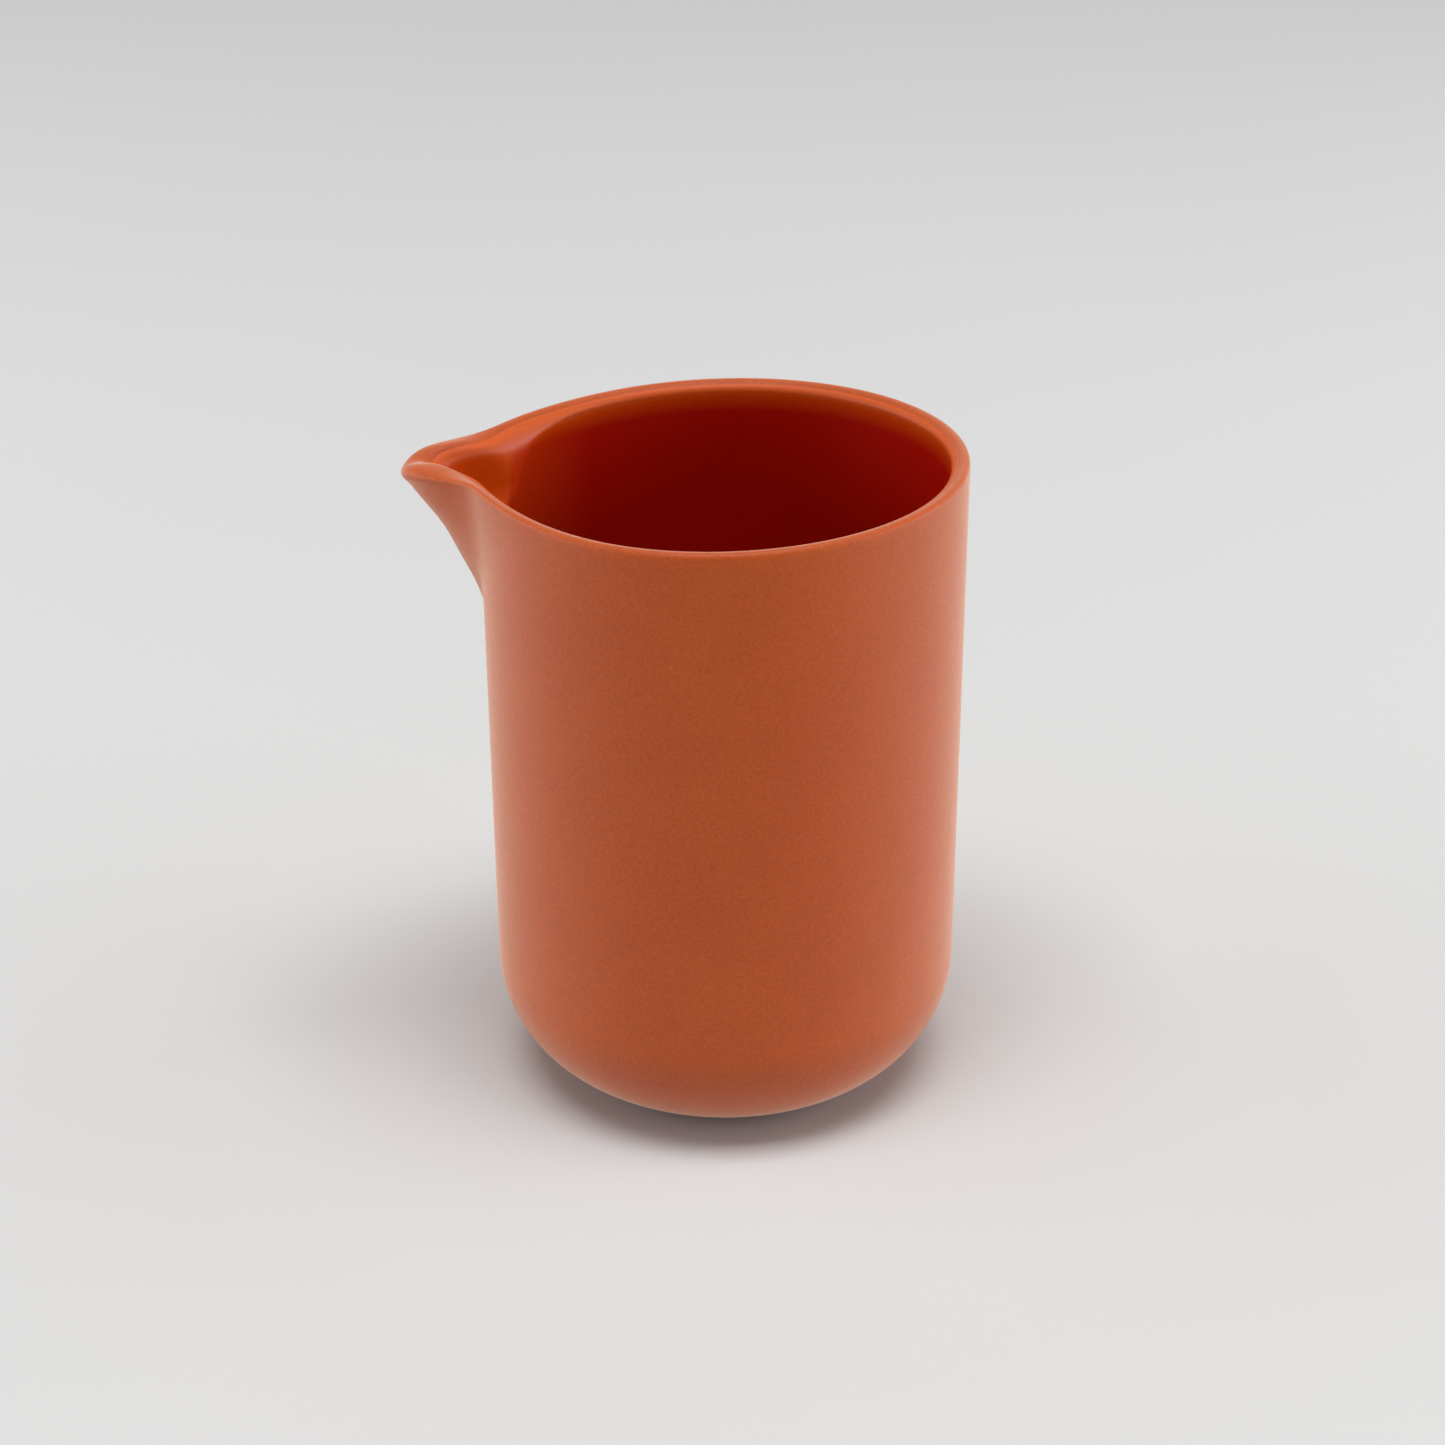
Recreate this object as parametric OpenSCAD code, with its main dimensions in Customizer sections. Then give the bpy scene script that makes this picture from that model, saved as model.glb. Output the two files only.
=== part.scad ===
// Small ceramic pouring pitcher: a straight-sided clay body with a rounded base,
// a beaked pouring spout set into a notch in its wall, and a glossy glaze coat inside.
// Frame: origin at the middle of the foot, +Z up the axis, spout towards -X. Millimetres.

/* [Body] */
// outer radius of the straight wall
body_radius = 42.5; // [30:0.5:70]
// height of the rim at the axis
body_height = 118; // [80:1:200]
// wall thickness
wall = 2.9; // [2:0.1:6]
// thickness of the floor
floor_thickness = 4; // [3:0.5:10]
// outside radius of the rounded base corner
base_round = 21.7; // [5:0.1:25]
// radius of the shallow recess under the foot
recess_radius = 16; // [5:0.5:18]
// depth of the recess under the foot
recess_depth = 0.8; // [0.3:0.1:2]

/* [Rim] */
// slope of the rim, falling towards the spout, in degrees
rim_slope = 1.5; // [0:0.1:5]
// rounding of the rim's outer edge
lip_outer = 1; // [0.5:0.1:1.4]
// rounding of the rim's inner edge
lip_inner = 1.6; // [0.5:0.1:1.8]

/* [Spout] */
// depth of the spout below the rim
spout_depth = 28; // [15:0.5:45]
// half angle of the spout at the rim, in degrees
spout_angle = 55; // [30:1:65]
// half width of the spout's lowest edge
spout_foot = 2.5; // [1:0.5:6]
// reach of the spout's wide flare beyond the wall
flare_reach = 5.6; // [0:0.1:15]
// extra reach of the pointed nose
nose_reach = 14.2; // [0:0.1:25]
// half angle of the nose, in degrees
nose_angle = 25; // [8:0.1:30]
// how far the lip's crest sags along the nose
nose_sag = 0.6; // [0:0.1:3]
// extra reach of the spout's belly, above its foot
belly_reach = 1.8; // [0:0.1:5]
// how blunt the nose's underside is just below the lip
nose_blunt = 0.9; // [0:0.1:3]
// extra width of the lip's outer rounding at the nose
nose_lip_width = 10.4; // [0:0.1:12]
// depth of the lip's outer rounding at the nose
nose_lip_depth = 3.9; // [1:0.1:6]
// reach of the trough beyond the spout's flare
trough_reach = 6.5; // [2:0.1:20]
// depth of the trough below the rim
trough_depth = 24.5; // [12:0.5:40]
// half angle of the trough, in degrees
trough_angle = 15.3; // [8:0.1:30]
// depth of the pouring groove in the nose's lip
groove_depth = 1.1; // [0:0.1:3]
// half angle of the pouring groove, in degrees
groove_angle = 3.6; // [1:0.1:8]
// how much narrower the lip's outer rounding is at the groove
groove_width = 4.8; // [0:0.1:8]
// rise of the rim at the spout
rim_rise = 1.25; // [0:0.1:3]

/* [Glaze] */
// thickness of the glaze coat
glaze = 0.3; // [0.2:0.05:0.6]
// depth of the glaze line below the rim
glaze_line = 2.2; // [1.8:0.1:4]

/* [Hidden] */
$fn = 96;
inner_radius = body_radius - wall;
inner_round = base_round - wall;
border_half = body_radius * sin(spout_angle);
trim_gap = 0.12;
// rows of the spout below its rounded lip
row_steps = 16;
// steps around each rounded lip edge
lip_steps = 7;
// columns on each side of the spout's middle
half_columns = 20;
columns = 2 * half_columns;
// softness of the flare's middle line, and how fast it falls towards the borders
flare_soft = 0.032;
flare_power = 2.4;
// how fast the nose, and the lip's rounding on it, fall off across the spout
nose_power = 4.8;
lip_power = 6.5;
// how fast the flare and the nose fall off down the spout
flare_fall = 0.75;
nose_fall = 2.4;
// depth of the belly below the rim, and its height
belly_depth = 19;
belly_height = 5;
// height over which the nose's underside is blunted
blunt_height = 3;
// how far the trough's crease sinks just under the lip, and then further down
crease_sink = 1.5;
crease_low_sink = 4.1;
crease_low_start = 9;
crease_low_height = 15;
clay = [0.76, 0.42, 0.28];
clay_spout = [0.80, 0.46, 0.32];
glaze_red = [0.45, 0.06, 0.03];

// half section of a cup's solid: straight side, rounded corner, flat bottom
module cup_section(radius, corner, bottom, top) {
    translate([0, bottom])
        square([radius - corner, top - bottom]);
    translate([0, bottom + corner])
        square([radius, top - bottom - corner]);
    intersection() {
        translate([radius - corner, bottom + corner])
            circle(r = corner);
        translate([0, bottom])
            square([radius, corner]);
    }
}

// solid of revolution with a cup's outline
module cup_solid(radius, corner, bottom, top) {
    rotate_extrude()
        cup_section(radius, corner, bottom, top);
}

// places its child in the frame of the sloping rim plane
module rim_frame() {
    translate([0, 0, body_height])
        rotate([0, -rim_slope, 0])
            children();
}

// trimming solid that cuts the rim level and rounds its outer edge
module rim_trim() {
    crest = body_radius + trim_gap - lip_outer;
    rim_frame()
        rotate_extrude()
            difference() {
                translate([0, -lip_outer])
                    square([body_radius + 20, 20]);
                translate([0, -lip_outer])
                    square([crest, lip_outer]);
                translate([crest, -lip_outer])
                    circle(r = lip_outer);
            }
}

// trimming solid that rounds the rim's inner edge
module bore_trim() {
    crest = inner_radius - trim_gap + lip_inner;
    rim_frame()
        rotate_extrude()
            difference() {
                translate([0, -lip_inner])
                    square([crest, lip_inner + 1]);
                translate([crest, -lip_inner])
                    circle(r = lip_inner);
            }
}

// half width of the spout's notch at a depth below the rim
function half_width(depth) =
    spout_foot + (border_half - spout_foot) * (1 - depth / spout_depth);

// notch that the spout fills: a trapezoid running out through the front wall
module notch() {
    rim_frame()
        rotate([90, 0, -90])
            linear_extrude(height = body_radius + 30)
                polygon([
                    [-spout_foot, -spout_depth],
                    [spout_foot, -spout_depth],
                    [half_width(-10), 10],
                    [-half_width(-10), 10]
                ]);
}

// place across the spout from -1 to 1, closer together near the nose
function across(j) =
    let (q = (j - half_columns) / half_columns)
    sign(q) * pow(abs(q), 1.6);

// smooth hump, 1 in the middle and 0 from the limit on
function hump(x, limit, power) = pow(max(0, 1 - pow(x / limit, 2)), power);

// bell curve, 1 in the middle
function bell(x, width) = exp(-pow(x / width, 2));

// share of the nose at an angle from the spout's middle
function nose(angle) = hump(angle, nose_angle, nose_power);

// wide part of the spout's bulge, 1 in the middle and 0 at both borders
function flare(s) =
    let (
        far = sqrt(1 + flare_soft * flare_soft) - flare_soft,
        v = (sqrt(s * s + flare_soft * flare_soft) - flare_soft) / far
    )
    pow(max(0, 1 - v), flare_power);

// border angle of the spout at a depth, on a wall of the given radius
function border_angle(depth, radius) =
    asin(half_width(depth) / radius);

// how far the spout's outside stands out from the wall
function outer_bulge(s, angle, depth) =
    let (
        blunt = nose_blunt * nose(angle) * bell(depth - nose_lip_depth, blunt_height),
        left = max(0, 1 - (depth + blunt) / spout_depth),
        narrow = nose_angle * (1 - 0.3 * depth / spout_depth),
        limit = min(narrow, 0.9 * border_angle(depth, body_radius)),
        belly = belly_reach * bell(depth - belly_depth, belly_height) * left
    )
    flare(s) * (flare_reach * pow(left, flare_fall) + belly)
    + nose_reach * hump(angle, limit, nose_power) * pow(left, nose_fall);

// how far the trough stands out from the inside wall, meeting it in a soft crease
function inner_bulge(s, angle, depth) =
    let (
        near_rim = crease_sink * (1 - exp(-max(0, depth - 1.2) / 2)),
        lower = (depth - crease_low_start) / crease_low_height,
        far_down = crease_low_sink * pow(min(1, max(0, lower)), 1.5),
        limit = min(trough_angle, 0.9 * border_angle(depth, inner_radius)),
        power = 1.3 + 5 * exp(-depth / 5)
    )
    max(0, flare_reach * flare(s) - near_rim - far_down)
    + trough_reach * hump(depth, trough_depth, 1.3) * hump(angle, limit, power);

// extra width and full depth of the lip's outer rounding, and how low its crest lies
function lip_share(angle) = hump(angle, nose_angle, lip_power);
function lip_cut(angle) =
    nose_lip_width * lip_share(angle) - groove_width * bell(angle, 1.1 * groove_angle);
function lip_deep(angle) =
    lip_outer + (nose_lip_depth - lip_outer) * lip_share(angle);
function lip_drop(angle) =
    nose_sag * nose(angle) + groove_depth * bell(angle, groove_angle);

// point at a place across the spout, an angle from its middle, a radius,
// and a depth below the rim, which rises a little between the spout's borders
function rim_point(s, angle, radius, depth) =
    let (
        x = -radius * cos(angle),
        rise = rim_rise * pow(1 - s * s, 1.3) * max(0, 1 - depth / spout_depth)
    )
    [x, radius * sin(angle), body_height + x * tan(rim_slope) - depth / cos(rim_slope) + rise];

// depth of a row below the lip, from the spout's foot up to the given top
function row_depth(k, top) =
    spout_depth + (top - spout_depth) * k / row_steps;

// one row's point on the spout's outside
function outer_row(s, k) =
    let (
        angle = s * border_angle(row_depth(k, glaze_line), body_radius),
        depth = row_depth(k, max(glaze_line, lip_deep(angle)))
    )
    rim_point(s, angle, body_radius + outer_bulge(s, angle, depth), depth);

// one row's point on the trough, or on its glaze when coat is above 0
function inner_row(s, k, coat) =
    let (
        radius = inner_radius - coat,
        angle = s * border_angle(row_depth(k, glaze_line), radius),
        depth = row_depth(k, max(glaze_line, lip_drop(angle) + lip_inner + 0.3)),
        out = inner_bulge(s, angle, depth)
    )
    rim_point(s, angle, radius + out - 0.08 * coat * out, depth);

// point on the lip's outer rounding, turned from the wall up to its crest
function outer_lip(s, turn) =
    let (
        radius = min(body_radius, body_radius + trim_gap - lip_outer * (1 - cos(turn))),
        row = lip_outer * (1 - sin(turn)),
        angle = s * border_angle(row, radius),
        drop = lip_drop(angle),
        depth = drop + (lip_deep(angle) - drop) * (1 - sin(turn)),
        cut = lip_cut(angle) * pow(1 - cos(turn), 1 - 0.2 * nose(angle))
    )
    rim_point(s, angle, radius + outer_bulge(s, angle, depth) - cut, depth);

// point on the lip's inner rounding, turned from the trough up to its crest
function inner_lip(s, turn) =
    let (
        radius = max(inner_radius, inner_radius - trim_gap + lip_inner * (1 - cos(turn))),
        row = lip_inner * (1 - sin(turn)),
        angle = s * border_angle(row, radius),
        drop = lip_drop(angle),
        crest = outer_bulge(s, angle, drop) - lip_cut(angle) - inner_bulge(s, angle, drop),
        depth = drop + row,
        out = inner_bulge(s, angle, depth) + crest * (1 - cos(turn))
    )
    rim_point(s, angle, radius + out, depth);

// one side of the spout at one place across it, from the foot up to the lip's crest
function outer_side(s) = concat(
    [for (k = [0:row_steps]) outer_row(s, k)],
    [for (i = [0:lip_steps]) outer_lip(s, 90 * i / lip_steps)]
);
function inner_side(s) = concat(
    [for (k = [0:row_steps]) inner_row(s, k, 0)],
    [for (i = [0:lip_steps]) inner_lip(s, 90 * i / lip_steps)]
);

// closed shell between two sides that have the same number of rows
module shell(outers, inners) {
    rows = len(outers[0]);
    loop = 2 * rows;
    last = len(outers) - 1;
    points = [
        for (j = [0:last])
            for (k = [0:loop - 1])
                k < rows ? outers[j][k] : inners[j][loop - 1 - k]
    ];
    skin = [
        for (j = [0:last - 1])
            for (k = [0:loop - 1])
                let (
                    a = j * loop + k,
                    b = (j + 1) * loop + k,
                    c = (j + 1) * loop + (k + 1) % loop,
                    d = j * loop + (k + 1) % loop
                )
                each [[a, b, c], [a, c, d]]
    ];
    ends = [
        for (k = [0:rows - 2])
            let (
                a = k,
                b = k + 1,
                c = loop - 2 - k,
                d = loop - 1 - k,
                far = last * loop
            )
            each [
                [a, b, c],
                [a, c, d],
                [far + a, far + c, far + b],
                [far + a, far + d, far + c]
            ]
    ];
    polyhedron(points = points, faces = concat(skin, ends));
}

// cast clay body: wall, rounded base and foot, open in front for the spout
module body() {
    color(clay)
        difference() {
            cup_solid(body_radius, base_round, 0, body_height + 4);
            cup_solid(inner_radius, inner_round, floor_thickness, body_height + 8);
            rim_trim();
            bore_trim();
            notch();
            translate([0, 0, -1])
                cylinder(h = recess_depth + 1, r = recess_radius);
        }
}

// beaked spout set into the body's notch
module spout() {
    color(clay_spout)
        shell(
            [for (j = [0:columns]) outer_side(across(j))],
            [for (j = [0:columns]) inner_side(across(j))]
        );
}

// glossy glaze coat over the body's inside, up to the glaze line
module glaze_lining() {
    color(glaze_red)
        difference() {
            cup_solid(inner_radius, inner_round, floor_thickness, body_height + 4);
            cup_solid(inner_radius - glaze, inner_round - glaze,
                floor_thickness + glaze, body_height + 8);
            notch();
            rim_frame()
                translate([0, 0, -glaze_line])
                    cylinder(h = 40, r = body_radius + 20);
        }
}

// rows of the trough at one place across it, on its clay or on its coat
function trough_side(s, coat) =
    [for (k = [0:row_steps]) inner_row(s, k, coat)];

// the same coat over the spout's trough
module trough_glaze() {
    color(glaze_red)
        shell(
            [for (j = [0:columns]) trough_side(across(j), 0)],
            [for (j = [0:columns]) trough_side(across(j), glaze)]
        );
}

body();
spout();
glaze_lining();
trough_glaze();
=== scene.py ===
"""Ceramic pitcher: matte coral clay outside, glossy glaze inside, a beaked pouring spout."""
import math
import bmesh
import bpy
from mathutils import Matrix, Vector


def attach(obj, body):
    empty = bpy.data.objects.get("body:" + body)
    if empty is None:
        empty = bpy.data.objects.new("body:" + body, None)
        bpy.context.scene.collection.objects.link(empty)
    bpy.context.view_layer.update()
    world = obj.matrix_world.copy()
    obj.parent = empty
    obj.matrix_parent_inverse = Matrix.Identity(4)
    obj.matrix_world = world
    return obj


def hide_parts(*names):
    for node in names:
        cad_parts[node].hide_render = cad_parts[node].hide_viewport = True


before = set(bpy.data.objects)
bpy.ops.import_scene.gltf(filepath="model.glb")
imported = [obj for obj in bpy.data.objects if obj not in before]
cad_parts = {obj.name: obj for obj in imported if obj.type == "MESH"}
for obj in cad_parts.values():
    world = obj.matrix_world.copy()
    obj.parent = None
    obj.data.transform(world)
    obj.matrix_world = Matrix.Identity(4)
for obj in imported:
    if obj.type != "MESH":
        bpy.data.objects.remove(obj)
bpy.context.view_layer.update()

MM = 0.001

# ---------------------------------------------------------------- sizes, in millimetres
# the body, its base and the recess under its foot
RADIUS = 42.5
HEIGHT = 118.0
WALL = 2.9
INNER = RADIUS - WALL
FLOOR = 4.0
BASE_ROUND = 21.7
INNER_ROUND = BASE_ROUND - WALL
RECESS_RADIUS = 16.0
RECESS_DEPTH = 0.8
RECESS_ROUND = 0.35
RECESS_EDGE_DROP = 0.1
FOOT_FLAT = 18.5
SLOPE = math.radians(1.5)

# the lip's two roundings, and the glaze coat that ends on the inner one
LIP_OUT = 1.0
LIP_OUT_DEEP = 1.0
LIP_IN = WALL - LIP_OUT
LIP_IN_DEEP = 1.8
LIP_IN_GAP = 0.3
GLAZE = 0.3
GLAZE_LINE = 2.1
GLAZE_EDGE = math.radians(42)
GLAZE_THINNING = 0.85
GLAZE_POOLING = 0.08

# the notch that the spout fills, and the rise of the rim towards it
SPOUT_DEPTH = 28.0
SPOUT_ANGLE = math.radians(55)
SPOUT_FOOT = 2.5
BORDER_HALF = RADIUS * math.sin(SPOUT_ANGLE)
BORDER_SHARE = 0.9
MIN_SINE = 0.02
RIM_LIFT = 1.25
RIM_LIFT_ANGLE = 0.73
FADE_END = math.radians(125)

# the spout's wide part, where ROUND and SHIFT take the point off its middle, and its belly
FLARE_REACH = 5.6
FLARE_ROUND = 0.001
FLARE_SHIFT = 0.032
FLARE_POWER = 2.4
FLARE_FALL = 0.75
BELLY_REACH = 1.8
BELLY_DEPTH = 19.0
BELLY_HEIGHT = 5.0

# its nose, with the lip that rolls over it and the groove down its middle
NOSE_REACH = 14.05
NOSE_ANGLE = math.radians(25)
NOSE_POWER = 4.8
NOSE_FALL = 2.4
NOSE_NARROWING = 0.3
NOSE_SAG = 0.5
SAG_ANGLE = math.radians(12)
SAG_WIDTH = math.radians(6)
NOSE_BLUNT = 0.9
BLUNT_HEIGHT = 3.0
LIP_POWER = 6.5
NOSE_LIP_CUT = 10.4
NOSE_LIP_DEEP = 3.9
NOSE_LIP_FULLNESS = 0.2
GROOVE_ANGLE = math.radians(3.6)
GROOVE_DEPTH = 1.5
GROOVE_CUT = 4.8
GROOVE_CUT_ANGLE = GROOVE_ANGLE * 1.1

# the trough, and the crease where the spout's inside sinks back to the wall
TROUGH_REACH = 6.5
TROUGH_DEPTH = 27.0
TROUGH_ANGLE = math.radians(16.6)
TROUGH_FALL = 1.8
TROUGH_POWER = 1.7
TROUGH_TOP_POWER = 5.0
TROUGH_TOP_HEIGHT = 5.0
CREASE_SOFT = 0.35
CREASE_SINK = 1.5
CREASE_START = 1.2
CREASE_HEIGHT = 2.0
LOW_SINK = 4.1
LOW_SINK_START = 9.0
LOW_SINK_HEIGHT = 15.0
LOW_SINK_POWER = 1.5

# rows and columns of the meshes
LIP_STEPS = 12
WALL_ROWS = 60
SPOUT_ROWS = 64
SPOUT_COLUMNS = 150
BACK_COLUMNS = 170
FRONT_COLUMNS = 110
BASE_STEPS = 28
RECESS_STEPS = 4
RECESS_SIDE_STEPS = 5
COLUMN_CROWDING = 1.6
MERGE_METRES = 1e-8


# ---------------------------------------------------------------- shape of the wall and spout
def half_width(depth):
    """Half width of the spout's notch at a depth below the rim."""
    return SPOUT_FOOT + (BORDER_HALF - SPOUT_FOOT) * (1 - depth / SPOUT_DEPTH)


def border_angle(depth, radius):
    """Angle of the notch's border, from the spout's middle, on a wall of this radius."""
    return math.asin(half_width(depth) / radius)


def rim_point(angle, radius, depth):
    """A point at an angle from the spout's middle and a depth below the sloping rim.

    The rim rises a little towards the spout, and the rise dies out down the wall.
    """
    x = -radius * math.cos(angle)
    away = min(abs(angle), abs(2 * math.pi - abs(angle)))
    lift = RIM_LIFT * math.exp(-(away / RIM_LIFT_ANGLE) ** 2) * max(0.0, 1 - depth / SPOUT_DEPTH)
    z = HEIGHT + x * math.tan(SLOPE) - depth / math.cos(SLOPE) + lift
    return Vector((x, radius * math.sin(angle), z))


def bell(x, width):
    return math.exp(-(x / width) ** 2)


def hump(x, limit, power):
    return max(0.0, 1 - (x / limit) ** 2) ** power


def flare(s):
    """The spout's wide part across it: 1 in the middle, 0 at both borders."""
    v = (math.sqrt(s * s + FLARE_ROUND) - FLARE_SHIFT) / (1 - FLARE_SHIFT)
    return max(0.0, 1 - v) ** FLARE_POWER


def border_limit(depth, radius):
    """The widest angle that the nose or trough may have at a depth, just inside the notch."""
    return BORDER_SHARE * math.asin(max(MIN_SINE, half_width(depth) / radius))


def outer_bulge(s, angle, depth):
    """How far the spout's outside stands out from the wall, rounded off at the nose."""
    share = hump(angle, NOSE_ANGLE, NOSE_POWER)
    blunt = share * NOSE_BLUNT * bell(depth - NOSE_LIP_DEEP, BLUNT_HEIGHT)
    left = max(0.0, 1 - (depth + blunt) / SPOUT_DEPTH)
    limit = min(NOSE_ANGLE * (1 - NOSE_NARROWING * depth / SPOUT_DEPTH), border_limit(depth, RADIUS))
    belly = BELLY_REACH * bell(depth - BELLY_DEPTH, BELLY_HEIGHT) * left
    return (flare(s) * (FLARE_REACH * left ** FLARE_FALL + belly)
            + NOSE_REACH * hump(angle, limit, NOSE_POWER) * left ** NOSE_FALL)


def inner_bulge(s, angle, depth):
    """How far the trough stands out from the inside wall. It meets the wall in a soft crease."""
    low = min(1.0, max(0.0, (depth - LOW_SINK_START) / LOW_SINK_HEIGHT))
    sink = (CREASE_SINK * (1 - math.exp(-max(0.0, depth - CREASE_START) / CREASE_HEIGHT))
            + LOW_SINK * low ** LOW_SINK_POWER)
    wide = FLARE_REACH * flare(s) - sink
    soft = CREASE_SOFT * (1 - s * s) * (1 - depth / SPOUT_DEPTH)
    limit = min(TROUGH_ANGLE, border_limit(depth, INNER))
    power = TROUGH_POWER + TROUGH_TOP_POWER * math.exp(-depth / TROUGH_TOP_HEIGHT)
    return (0.5 * (wide + math.hypot(wide, soft))
            + TROUGH_REACH * hump(depth, TROUGH_DEPTH, TROUGH_FALL) * hump(angle, limit, power))


def lip_size(angle):
    """(width, depth, drop) of the lip's outer rounding, where drop lowers its crest."""
    share = hump(angle, NOSE_ANGLE, LIP_POWER)
    width = LIP_OUT + NOSE_LIP_CUT * share - GROOVE_CUT * bell(angle, GROOVE_CUT_ANGLE)
    deep = LIP_OUT_DEEP + (NOSE_LIP_DEEP - LIP_OUT_DEEP) * share
    sag = NOSE_SAG * bell(abs(angle) - SAG_ANGLE, SAG_WIDTH)
    return width, deep, sag + GROOVE_DEPTH * bell(angle, GROOVE_ANGLE)


def crest_radius(s, angle):
    width, _, drop = lip_size(angle)
    return RADIUS + outer_bulge(s, angle, drop) - width


def spout_outside(s):
    """One side of the spout's outside, from its foot up to the lip's crest."""
    points = []
    for k in range(SPOUT_ROWS + 1):
        row = SPOUT_DEPTH + (GLAZE_LINE - SPOUT_DEPTH) * k / SPOUT_ROWS
        angle = s * border_angle(row, RADIUS)
        top = max(GLAZE_LINE, lip_size(angle)[1])
        depth = SPOUT_DEPTH + (top - SPOUT_DEPTH) * k / SPOUT_ROWS
        points.append(rim_point(angle, RADIUS + outer_bulge(s, angle, depth), depth))
    for i in range(1, LIP_STEPS + 1):
        turn = math.pi / 2 * i / LIP_STEPS
        row = LIP_OUT_DEEP * (1 - math.sin(turn))
        angle = s * border_angle(row, RADIUS - LIP_OUT * (1 - math.cos(turn)))
        width, deep, drop = lip_size(angle)
        depth = drop + (deep - drop) * (1 - math.sin(turn))
        fuller = 1 - NOSE_LIP_FULLNESS * hump(angle, NOSE_ANGLE, NOSE_POWER)
        cut = width * (1 - math.cos(turn)) ** fuller
        points.append(rim_point(angle, RADIUS + outer_bulge(s, angle, depth) - cut, depth))
    return points


def lip_inside_point(s, turn, coat):
    """A point on the lip's inner rounding; turn is 0 at the wall and a right angle at the crest."""
    across_lip = 1 - math.cos(turn)
    row = LIP_IN_DEEP * (1 - math.sin(turn))
    angle = s * border_angle(row, INNER + LIP_IN * across_lip)
    drop = lip_size(angle)[2]
    depth = drop + row
    wide = crest_radius(s, angle) - INNER - inner_bulge(s, angle, drop)
    radius = INNER + inner_bulge(s, angle, depth) + wide * across_lip
    return rim_point(angle, radius - coat * math.cos(turn), depth - coat * math.sin(turn))


def thinned(coat, turn):
    """A coat's thickness on the lip, which falls towards the coat's edge."""
    return coat * (1 - GLAZE_THINNING * (turn / GLAZE_EDGE) ** 2)


def lip_inside(s, turns, coat=0.0):
    """Points of the lip's inner rounding, with a coat on it."""
    return [lip_inside_point(s, turn, thinned(coat, turn)) for turn in turns]


def trough(s, coat=0.0):
    """One side of the trough, from the spout's foot up to the lip's rounding."""
    points = []
    for k in range(SPOUT_ROWS + 1):
        row = SPOUT_DEPTH + (GLAZE_LINE - SPOUT_DEPTH) * k / SPOUT_ROWS
        angle = s * border_angle(row, INNER - coat)
        top = max(GLAZE_LINE, lip_size(angle)[2] + LIP_IN_DEEP + LIP_IN_GAP)
        depth = SPOUT_DEPTH + (top - SPOUT_DEPTH) * k / SPOUT_ROWS
        out = inner_bulge(s, angle, depth)
        points.append(rim_point(angle, INNER + out - coat * (1 + GLAZE_POOLING * out), depth))
    return points


LIP_TURNS = [math.pi / 2 * i / LIP_STEPS for i in range(LIP_STEPS)]
GLAZE_TURNS = [GLAZE_EDGE * i / LIP_STEPS for i in range(LIP_STEPS + 1)]


# ---------------------------------------------------------------- meshes
def closed_mesh(name, columns, ring, cap_ends):
    """A closed mesh from columns of points, each column a closed loop or an open run.

    ring: the columns close on themselves round the axis, and each column's first and last
    point are on the axis. Otherwise each column is a closed loop, and the two end columns
    are filled, as strips between their two halves.
    """
    bm = bmesh.new()
    grid = [[bm.verts.new(p * MM) for p in column] for column in columns]
    count = len(grid)
    rows = len(grid[0])
    pairs = range(count) if ring else range(count - 1)
    for j in pairs:
        a, b = grid[j], grid[(j + 1) % count]
        for k in range(rows - 1 if ring else rows):
            k2 = (k + 1) % rows
            bm.faces.new((a[k], b[k], b[k2], a[k2]))
    if cap_ends:
        for column in (grid[0], grid[-1]):
            for k in range(rows // 2 - 1):
                bm.faces.new((column[k], column[k + 1], column[rows - 2 - k], column[rows - 1 - k]))
    bmesh.ops.remove_doubles(bm, verts=bm.verts, dist=MERGE_METRES)
    bmesh.ops.dissolve_degenerate(bm, edges=bm.edges, dist=MERGE_METRES)
    bmesh.ops.recalc_face_normals(bm, faces=bm.faces)
    mesh = bpy.data.meshes.new(name)
    bm.to_mesh(mesh)
    bm.free()
    obj = bpy.data.objects.new(name, mesh)
    bpy.context.scene.collection.objects.link(obj)
    return obj


def smooth_by_angle(obj, degrees):
    obj.data.shade_smooth()
    obj.data.set_sharp_from_angle(angle=math.radians(degrees))


def across(j, count):
    """Places across the spout from -1 to 1, closer together near the nose."""
    q = 2 * j / count - 1
    return math.copysign(abs(q) ** COLUMN_CROWDING, q)


def spout_columns():
    columns = []
    for j in range(SPOUT_COLUMNS + 1):
        s = across(j, SPOUT_COLUMNS)
        inside = trough(s) + lip_inside(s, LIP_TURNS)[1:]
        outside = spout_outside(s)
        columns.append(outside + inside[::-1])
    return columns


def trough_columns():
    columns = []
    for j in range(SPOUT_COLUMNS + 1):
        s = across(j, SPOUT_COLUMNS)
        back = trough(s) + lip_inside(s, GLAZE_TURNS)
        face = trough(s, GLAZE) + lip_inside(s, GLAZE_TURNS, GLAZE)
        columns.append(back + face[::-1])
    return columns


def column_angles():
    """Angles round the body: through the notch, then round the back, with its borders twice."""
    edge = border_angle(GLAZE_LINE, RADIUS)
    front = [("notch", edge * (2 * j / FRONT_COLUMNS - 1)) for j in range(FRONT_COLUMNS + 1)]
    back = [("wall", edge + (2 * math.pi - 2 * edge) * j / BACK_COLUMNS)
            for j in range(BACK_COLUMNS + 1)]
    return front + back


def fade(angle):
    """1 at the notch's border, falling to 0 towards the back."""
    edge = border_angle(GLAZE_LINE, RADIUS)
    away = min(angle, 2 * math.pi - angle)
    return max(0.0, 1 - (away - edge) / (FADE_END - edge)) ** 2


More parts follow.
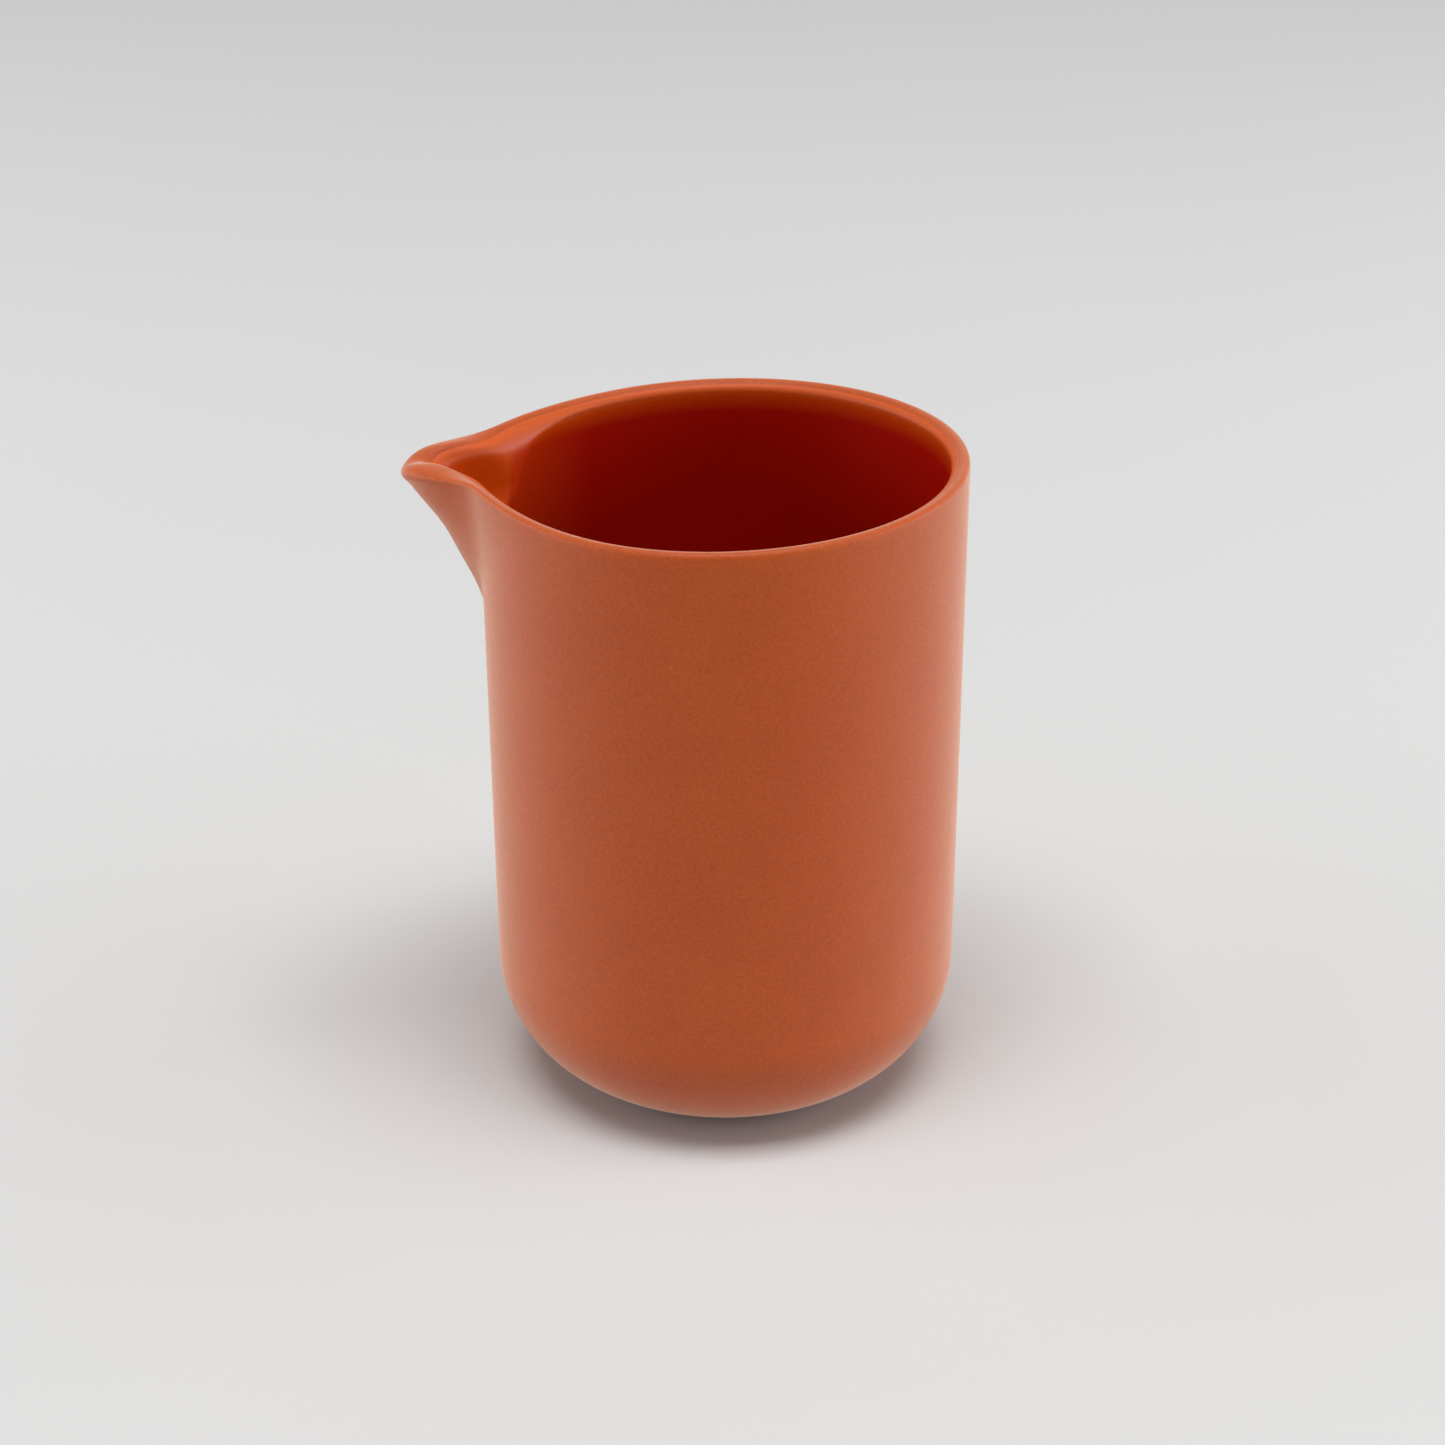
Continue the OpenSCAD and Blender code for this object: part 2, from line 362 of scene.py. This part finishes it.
def wall_angle(angle, depth, radius):
    """Where a column's point lies, so that the column by the notch follows its border."""
    edge = border_angle(GLAZE_LINE, RADIUS)
    shift = fade(angle) * (border_angle(depth, radius) - edge)
    return angle + (shift if angle < math.pi else -shift)


def notch_depth(y):
    """Depth of the notch's border at a place across it."""
    share = max(0.0, (abs(y) - SPOUT_FOOT) / (BORDER_HALF - SPOUT_FOOT))
    return SPOUT_DEPTH * (1 - share)


def base_arc(radius, corner, bottom, angle, upward):
    """Rounded base corner from the flat bottom up to the wall."""
    points = []
    for i in range(BASE_STEPS + 1):
        turn = math.pi / 2 * i / BASE_STEPS
        r = radius - corner + corner * math.sin(turn)
        points.append(Vector((-r * math.cos(angle), r * math.sin(angle),
                              bottom + corner * (1 - math.cos(turn)))))
    return points if upward else points[::-1]


def wall_run(low, high, rows):
    return [low.lerp(high, k / rows) for k in range(1, rows)]


def underside(angle):
    """From the axis out to the foot's edge, with the shallow recess."""
    inner = RECESS_RADIUS - 2 * RECESS_ROUND
    side = RECESS_RADIUS - RECESS_ROUND
    side_depth = RECESS_DEPTH - RECESS_EDGE_DROP
    run = [(0, RECESS_DEPTH), (RECESS_RADIUS / 2, RECESS_DEPTH), (inner, RECESS_DEPTH)]
    for i in range(1, RECESS_STEPS + 1):
        share = i / RECESS_STEPS
        run.append((inner + RECESS_ROUND * share, RECESS_DEPTH - RECESS_EDGE_DROP * share ** 2))
    for i in range(1, RECESS_SIDE_STEPS + 1):
        share = i / RECESS_SIDE_STEPS
        run.append((side + RECESS_ROUND * share, side_depth * (1 - share)))
    run.append((FOOT_FLAT, 0))
    return [Vector((-r * math.cos(angle), r * math.sin(angle), z)) for r, z in run]


def bore_lip(angle, turn, coat):
    """A point on the body's inner rounding, with the glaze's coat on it."""
    row = LIP_IN_DEEP * (1 - math.sin(turn))
    cut = LIP_IN * (1 - math.cos(turn))
    where = wall_angle(angle, row, INNER + cut)
    return rim_point(where, INNER + cut - coat * math.cos(turn), row - coat * math.sin(turn))


def body_columns():
    columns = []
    lip_rows = 2 * LIP_STEPS - 1
    for kind, angle in column_angles():
        if kind == "notch":
            y = RADIUS * math.sin(angle)
            depth = notch_depth(y)
            inner_angle = math.asin(y / INNER)
            outer_top = rim_point(angle, RADIUS, depth)
            inner_top = rim_point(inner_angle, INNER, depth)
            lip = [outer_top.lerp(inner_top, k / (lip_rows + 1)) for k in range(1, lip_rows + 1)]
        else:
            inner_angle = wall_angle(angle, GLAZE_LINE, INNER)
            outer_top = rim_point(angle, RADIUS, GLAZE_LINE)
            inner_top = rim_point(inner_angle, INNER, GLAZE_LINE)
            lip = []
            for i in range(1, LIP_STEPS + 1):
                turn = math.pi / 2 * i / LIP_STEPS
                row = LIP_OUT_DEEP * (1 - math.sin(turn))
                cut = LIP_OUT * (1 - math.cos(turn))
                lip.append(rim_point(wall_angle(angle, row, RADIUS - cut), RADIUS - cut, row))
            lip += [bore_lip(angle, turn, 0) for turn in LIP_TURNS[:0:-1]]
        outer_arc = base_arc(RADIUS, BASE_ROUND, 0, angle, True)
        inner_arc = base_arc(INNER, INNER_ROUND, FLOOR, inner_angle, False)
        column = underside(angle) + outer_arc
        column += wall_run(outer_arc[-1], outer_top, WALL_ROWS) + [outer_top]
        column += lip
        column += [inner_top] + wall_run(inner_top, inner_arc[0], WALL_ROWS)
        column += inner_arc + [Vector((0, 0, FLOOR))]
        columns.append(column)
    return columns


def lining_columns():
    """The glaze coat: its back on the clay, its face a coat's thickness inside."""
    columns = []
    face_radius = INNER - GLAZE
    steps = len(GLAZE_TURNS)
    for kind, angle in column_angles():
        if kind == "notch":
            y = RADIUS * math.sin(angle)
            depth = notch_depth(y)
            back_angle = math.asin(y / INNER)
            face_angle = math.asin(y / face_radius)
            back_top = rim_point(back_angle, INNER, depth)
            face_top = rim_point(face_angle, face_radius, depth)
            edge = [back_top.lerp(face_top, k / (2 * steps + 1)) for k in range(1, 2 * steps + 1)]
        else:
            back_angle = wall_angle(angle, GLAZE_LINE, INNER)
            face_angle = wall_angle(angle, GLAZE_LINE, face_radius)
            back_top = rim_point(back_angle, INNER, GLAZE_LINE)
            face_top = rim_point(face_angle, face_radius, GLAZE_LINE)
            edge = [bore_lip(angle, turn, 0) for turn in GLAZE_TURNS]
            edge += [bore_lip(angle, turn, thinned(GLAZE, turn)) for turn in GLAZE_TURNS[::-1]]
        back_arc = base_arc(INNER, INNER_ROUND, FLOOR, back_angle, True)
        face_arc = base_arc(face_radius, INNER_ROUND - GLAZE, FLOOR + GLAZE, face_angle, False)
        column = [Vector((0, 0, FLOOR))] + back_arc
        column += wall_run(back_arc[-1], back_top, WALL_ROWS) + [back_top]
        column += edge
        column += [face_top] + wall_run(face_top, face_arc[0], WALL_ROWS)
        column += face_arc + [Vector((0, 0, FLOOR + GLAZE))]
        columns.append(column)
    return columns


# ---------------------------------------------------------------- materials
CLAY_DARK = (0.50, 0.070, 0.0)
CLAY_LIGHT = (0.54, 0.082, 0.001)
CLAY_SPECK = (0.42, 0.060, 0.015)
CLAY_SHEEN = (1.0, 0.86, 0.70, 1)
GLAZE_DARK = (0.40, 0.005, 0.001)
GLAZE_LIGHT = (0.44, 0.007, 0.002)
# paler, more orange glaze: partly where it thins at the rim, partly painted light on the lit rim
# band and trough
GLAZE_THIN_AND_LIT = (0.58, 0.060, 0.001)
# the rim's edge: the glaze fading to a clay colour, made lighter than the clay as a painted
# highlight on the lip
RIM_GLAZE_AND_HIGHLIGHT = (0.58, 0.090, 0.012)
FLOOR_DARK = (0.575, 0.577, 0.574)
FLOOR_LIGHT = (0.585, 0.587, 0.584)


class Nodes:
    """Short names for building a material's node tree."""

    def __init__(self, name):
        self.material = bpy.data.materials.new(name)
        self.material.use_nodes = True
        self.tree = self.material.node_tree
        self.shader = self.tree.nodes["Principled BSDF"]
        self.place = self.tree.nodes.new("ShaderNodeTexCoord").outputs["Object"]

    def link(self, a, b):
        self.tree.links.new(a, b)

    def noise(self, scale, detail=2.0, rough=0.5):
        n = self.tree.nodes.new("ShaderNodeTexNoise")
        n.inputs["Scale"].default_value = scale
        n.inputs["Detail"].default_value = detail
        n.inputs["Roughness"].default_value = rough
        self.link(self.place, n.inputs["Vector"])
        return n.outputs["Fac"]

    def ramp(self, source, stops):
        n = self.tree.nodes.new("ShaderNodeValToRGB")
        ramp = n.color_ramp
        while len(ramp.elements) < len(stops):
            ramp.elements.new(0.5)
        for element, (at, color) in zip(ramp.elements, stops):
            element.position = at
            element.color = (*color, 1)
        self.link(source, n.inputs["Fac"])
        return n.outputs["Color"]

    def spread(self, source, low, high, to_low, to_high):
        n = self.tree.nodes.new("ShaderNodeMapRange")
        for key, value in zip(("From Min", "From Max", "To Min", "To Max"),
                              (low, high, to_low, to_high)):
            n.inputs[key].default_value = value
        self.link(source, n.inputs["Value"])
        return n.outputs["Result"]

    def math(self, how, a, b):
        n = self.tree.nodes.new("ShaderNodeMath")
        n.operation = how
        for socket, value in zip(n.inputs, (a, b)):
            if hasattr(value, "links"):
                self.link(value, socket)
            else:
                socket.default_value = value
        return n.outputs["Value"]

    def mix(self, factor, a, b, how="MIX"):
        n = self.tree.nodes.new("ShaderNodeMix")
        n.data_type = "RGBA"
        n.blend_type = how
        for socket, value in ((n.inputs["Factor"], factor), (n.inputs["A"], a), (n.inputs["B"], b)):
            if hasattr(value, "links"):
                self.link(value, socket)
            else:
                socket.default_value = value if isinstance(value, float) else (*value, 1)
        return n.outputs["Result"]

    def bump(self, height, distance, strength):
        n = self.tree.nodes.new("ShaderNodeBump")
        n.inputs["Distance"].default_value = distance
        n.inputs["Strength"].default_value = strength
        self.link(height, n.inputs["Height"])
        return n.outputs["Normal"]


def clay_material():
    m = Nodes("coral_clay")
    body = m.ramp(m.noise(45, 4, 0.6), [(0.25, CLAY_DARK), (0.75, CLAY_LIGHT)])
    fine = m.spread(m.noise(1700, 3, 0.7), 0.35, 0.65, 0.0, 1.0)
    grained = m.mix(fine, (0.89, 0.86, 0.86), (1.09, 1.13, 1.13))
    color = m.mix(1.0, body, grained, "MULTIPLY")
    specks = m.spread(m.noise(2100, 1, 0.5), 0.70, 0.78, 0.0, 0.25)
    color = m.mix(specks, color, CLAY_SPECK)
    m.link(color, m.shader.inputs["Base Color"])
    m.link(m.spread(m.noise(420, 3, 0.6), 0.3, 0.7, 0.50, 0.58), m.shader.inputs["Roughness"])
    m.link(m.bump(m.noise(2400, 3, 0.6), 0.00005, 0.30), m.shader.inputs["Normal"])
    m.shader.inputs["Specular IOR Level"].default_value = 0.35
    m.shader.inputs["Sheen Weight"].default_value = 0.68
    m.shader.inputs["Sheen Tint"].default_value = CLAY_SHEEN
    m.shader.inputs["Sheen Roughness"].default_value = 0.40
    m.shader.inputs["Diffuse Roughness"].default_value = 0.5
    return m.material


def glaze_material():
    """Deep red where it pools inside. Near the rim it is paler and more orange, partly because the
    glaze thins there and partly as painted light on the lit rim band; by the spout and in the trough
    the same paler colour is painted light on the lit trough. At the very rim it fades to a clay
    colour, a little lighter than the clay as a painted highlight on the lip.

    Its roughness away from the rim stays under 0.27, where the render's denoiser would draw a line.
    """
    m = Nodes("clear_glaze_on_clay")
    split = m.tree.nodes.new("ShaderNodeSeparateXYZ")
    m.link(m.place, split.inputs["Vector"])
    x, y, z = (split.outputs[axis] for axis in "XYZ")
    level = m.math("ADD", z, m.math("MULTIPLY", x, -math.tan(SLOPE)))
    at_rim = m.spread(level, (HEIGHT - 2.6) * MM, (HEIGHT - 0.9) * MM, 0.0, 1.0)
    near_rim = m.spread(level, (HEIGHT - 5.5) * MM, (HEIGHT - 2.0) * MM, 0.0, 1.0)
    by_spout = m.spread(x, -0.027, -0.039, 0.0, 0.5)
    square = m.math("ADD", m.math("MULTIPLY", x, x), m.math("MULTIPLY", y, y))
    wall_square = ((INNER - GLAZE + 0.1) * MM) ** 2
    trough_square = ((INNER + 0.9) * MM) ** 2
    in_trough = m.spread(square, wall_square, trough_square, 0.0, 1.0)
    # paler glaze near the rim, by the spout and in the trough: partly the glaze thinning at the rim,
    # partly painted light on these lit parts
    thin_glaze_and_lit = m.math("MAXIMUM", near_rim, m.math("MAXIMUM", by_spout, in_trough))
    deep = m.ramp(m.noise(30, 3, 0.6), [(0.20, GLAZE_DARK), (0.80, GLAZE_LIGHT)])
    color = m.mix(thin_glaze_and_lit, deep, GLAZE_THIN_AND_LIT)
    # at the rim's edge: a clay colour where the glaze ends, lightened as a painted highlight on the
    # lip
    color = m.mix(at_rim, color, RIM_GLAZE_AND_HIGHLIGHT)
    fine = m.spread(m.noise(2200, 2, 0.6), 0.35, 0.65, 0.0, 1.0)
    color = m.mix(1.0, color, m.mix(fine, (0.96, 0.93, 0.90), (1.03, 1.05, 1.08)), "MULTIPLY")
    m.link(color, m.shader.inputs["Base Color"])
    smooth = m.spread(m.noise(60, 1, 0.5), 0.1, 0.9, 0.21, 0.265)
    m.link(m.math("ADD", smooth, m.math("MULTIPLY", at_rim, 0.30)), m.shader.inputs["Roughness"])
    m.link(m.bump(m.noise(140, 2, 0.5), 0.00008, 0.15), m.shader.inputs["Normal"])
    m.shader.inputs["Specular IOR Level"].default_value = 0.3
    return m.material


# ---------------------------------------------------------------- the pitcher
SHARP_DEGREES = 35


def place(obj, node, material):
    obj.data.materials.append(material)
    smooth_by_angle(obj, SHARP_DEGREES)
    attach(obj, "root")
    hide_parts(node)


clay = clay_material()
glaze = glaze_material()
place(closed_mesh("clay_body", body_columns(), True, False), "body", clay)
place(closed_mesh("clay_spout", spout_columns(), False, True), "spout", clay)
place(closed_mesh("glaze_inside", lining_columns(), True, False), "glaze_lining", glaze)
place(closed_mesh("glaze_trough", trough_columns(), False, True), "trough_glaze", glaze)


# ---------------------------------------------------------------- floor, light and camera
FLOOR_SIZE = 12
FLOOR_BELOW = 0.00005
ROOM_FRONT = 0.12
ROOM_BACK = 0.42
LENS = 69.76
SENSOR = 36
CAMERA_AT = (0.03430, -0.45233, 0.29368)
CAMERA_HEADING = 4.39
CAMERA_PITCH = 26.546
CAMERA_ROLL = -0.2256


def add_floor():
    bpy.ops.mesh.primitive_plane_add(size=FLOOR_SIZE, location=(0, 0, -FLOOR_BELOW))
    floor = bpy.context.active_object
    floor.name = "floor"
    m = Nodes("pale_floor")
    color = m.ramp(m.noise(3, 2, 0.5), [(0.3, FLOOR_DARK), (0.7, FLOOR_LIGHT)])
    m.link(color, m.shader.inputs["Base Color"])
    m.shader.inputs["Roughness"].default_value = 0.9
    m.shader.inputs["Specular IOR Level"].default_value = 0.2
    floor.data.materials.append(m.material)


def add_area(name, place_at, aim, width, height, power):
    data = bpy.data.lights.new(name, "AREA")
    data.shape = "RECTANGLE"
    data.size = width
    data.size_y = height
    data.energy = power
    lamp = bpy.data.objects.new(name, data)
    lamp.location = place_at
    lamp.rotation_euler = (Vector(aim) - Vector(place_at)).to_track_quat("-Z", "Y").to_euler()
    bpy.context.scene.collection.objects.link(lamp)


def add_world(front, back):
    """A room that is bright behind the pitcher and dim in front of it."""
    world = bpy.data.worlds.new("soft_room")
    world.use_nodes = True
    tree = world.node_tree
    toward = tree.nodes.new("ShaderNodeTexCoord").outputs["Generated"]
    split = tree.nodes.new("ShaderNodeSeparateXYZ")
    tree.links.new(toward, split.inputs["Vector"])
    spread = tree.nodes.new("ShaderNodeMapRange")
    spread.interpolation_type = "SMOOTHSTEP"
    for key, value in (("From Min", -0.5), ("From Max", 0.4), ("To Min", front), ("To Max", back)):
        spread.inputs[key].default_value = value
    tree.links.new(split.outputs["Y"], spread.inputs["Value"])
    tree.links.new(spread.outputs["Result"], tree.nodes["Background"].inputs["Strength"])
    tree.nodes["Background"].inputs["Color"].default_value = (1, 1, 1, 1)
    bpy.context.scene.world = world


def add_camera():
    data = bpy.data.cameras.new("camera")
    data.sensor_width = SENSOR
    data.lens = LENS
    data.clip_start = 0.01
    camera = bpy.data.objects.new("camera", data)
    turn = Matrix.Rotation(math.radians(CAMERA_HEADING), 4, "Z")
    tilt = Matrix.Rotation(math.radians(90 - CAMERA_PITCH), 4, "X")
    roll = Matrix.Rotation(math.radians(CAMERA_ROLL), 4, "Z")
    at = Matrix.Translation(Vector(CAMERA_AT))
    camera.matrix_world = at @ turn @ tilt @ roll
    bpy.context.scene.collection.objects.link(camera)
    bpy.context.scene.camera = camera


add_floor()
add_world(ROOM_FRONT, ROOM_BACK)
add_area("left_panel", (-1.0, -0.1, 0.27), (0, 0, 0.06), 1.3, 0.5, 5.8)
add_area("right_panel", (1.0, 0.0, 0.27), (0, 0, 0.06), 1.3, 0.5, 7.0)
add_area("top_box", (0.16, -0.7, 3.8), (0, 0, 0.05), 3.2, 1.5, 132)
bpy.context.scene.view_settings.view_transform = "Standard"
add_camera()
